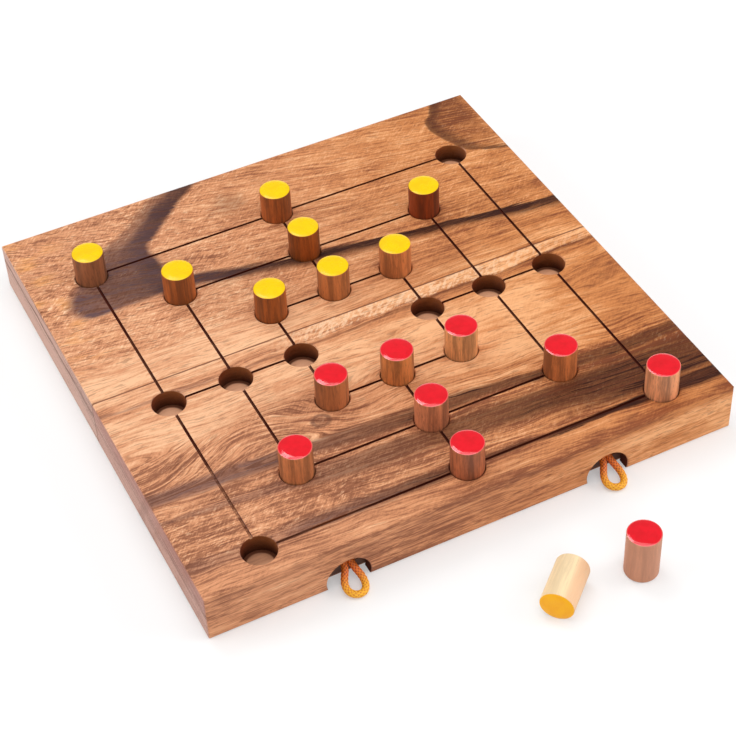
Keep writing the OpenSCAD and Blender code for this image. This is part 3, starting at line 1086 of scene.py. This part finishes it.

# %% [markdown]
# The red is glossy and the yellow duller. The paint of the man that lies down looks deeper, because
# its end faces away from the light. The rim attribute says where the paint rolls off: there the red
# is given a painted pale pink highlight, and the yellow a darker rim.

# %% Enamel finish
def enamel_finish(name, colour, deep, thin, gloss, seed):
    """Paint with cloudy depth, and the colour thin where it rolls off at the rim: a painted
    highlight on the red.
    """
    material = start_finish(name)
    place = place_in_mm()
    cloud = noise(place, (3, 3, 3), seed)
    sag = noise(place, (5, 5, 5), seed + 1, 1, 0.5)
    peel = noise(place, (0.7, 0.7, 0.7), seed + 2)
    tint = mix(fade(cloud, 0.35, 0.75), colour, deep)
    rim = Signal.node("ShaderNodeAttribute", {"attribute_name": "rim"}, out="Fac")
    # At the rim, thin is mixed in: a painted pale pink highlight on the red, a darker rim on the
    # yellow
    tint = mix(fade(rim, 0.93, 0.99) * 0.6, tint, thin)
    roughness = 0.34 - 0.22 * gloss + 0.1 * (cloud - 0.5)
    end_finish(tint, roughness, sag + 0.03 * peel, height=0.0002,
               **{"Coat Weight": 0.4 * gloss, "Coat Roughness": 0.07,
                  "Specular IOR Level": 0.15 + 0.35 * gloss})
    return material


enamels = {
    "red": enamel_finish("red_enamel", paint(234, 4, 30), paint(220, 2, 24),
                         paint(246, 120, 118), 1, 130),
    "yellow": enamel_finish("yellow_enamel", paint(253, 207, 0), paint(248, 198, 0),
                            paint(222, 172, 8), 0.3, 133),
    "lying": enamel_finish("deep_yellow_enamel", paint(255, 182, 0), paint(252, 172, 0),
                           paint(255, 186, 16), 0.2, 136),
}
print(len(enamels), "enamels")

# %% [markdown]
# Each copy is turned to its man's axis and set on the end of the dowel. It rides on the man and
# takes the place of the CAD model's plain disc.

# %% Copy the coat to every man
# How much of a man's length is enamel
COAT_HEIGHT = 0.4

for name, man in men.items():
    colour = name.split("_")[0]
    piece = coat.copy()
    piece.data = coat.data.copy()
    piece.name = name + "_coat"
    bpy.context.scene.collection.objects.link(piece)
    end = Vector(man.foot) * MM + man.axis * ((man.length - COAT_HEIGHT) * MM)
    turn = man.axis.to_track_quat("Z", "Y").to_matrix().to_4x4()
    piece.data.transform(Matrix.Translation(end) @ turn)
    give(enamels["lying" if man.axis is LYING else colour], piece)
    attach(piece, name)
    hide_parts(name + "_enamel")
    colour + "_enamel"
bpy.data.objects.remove(coat)
print(len(men), "coats of enamel")

# %% [markdown]
# ## The cord's finish
# The braid is shiny orange yarn. It is brighter on the crowns of the strands, and the valleys hold
# shade and a redder orange. The relief attribute says which is which. The tip is yellower than the
# rest. In the lid, the ends of the cord are melted to a lump that holds them.

# %% Cord finish
def cord_finish(name, seed):
    material = start_finish(name)
    relief = Signal.node("ShaderNodeAttribute", {"attribute_name": "relief"}, out="Fac")
    place = place_in_mm()
    fuzz = noise(place, (0.25, 0.25, 0.25), seed, 2, 0.6)
    tip = fade(place[1], -83.5, -89)
    crown = mix(tip, paint(238, 118, 34), paint(252, 186, 36))
    valley = mix(tip, paint(140, 42, 8), paint(208, 98, 12))
    colour = mix(fade(relief + 1.2 * (fuzz - 0.5), 0.35, 0.9), valley, crown)
    end_finish(colour, 0.5 + 0.2 * (fuzz - 0.5), fuzz, height=0.00003)
    return material


give(cord_finish("orange_braid", 140), *cords.values())


def melted_finish(name, seed):
    material = start_finish(name)
    place = place_in_mm()
    burn = noise(place, (0.7, 0.7, 0.7), seed, 3, 0.6)
    colour = mix(fade(burn, 0.4, 0.7), paint(214, 96, 18), paint(110, 46, 14))
    end_finish(colour, 0.35 + 0.2 * burn, burn, height=0.0001)
    return material


melted_ends = [nodes[name + "_ends"] for name in cords]
give(melted_finish("melted_cord", 150), *melted_ends)
print(len(cords), "cords and", len(melted_ends), "melted ends")
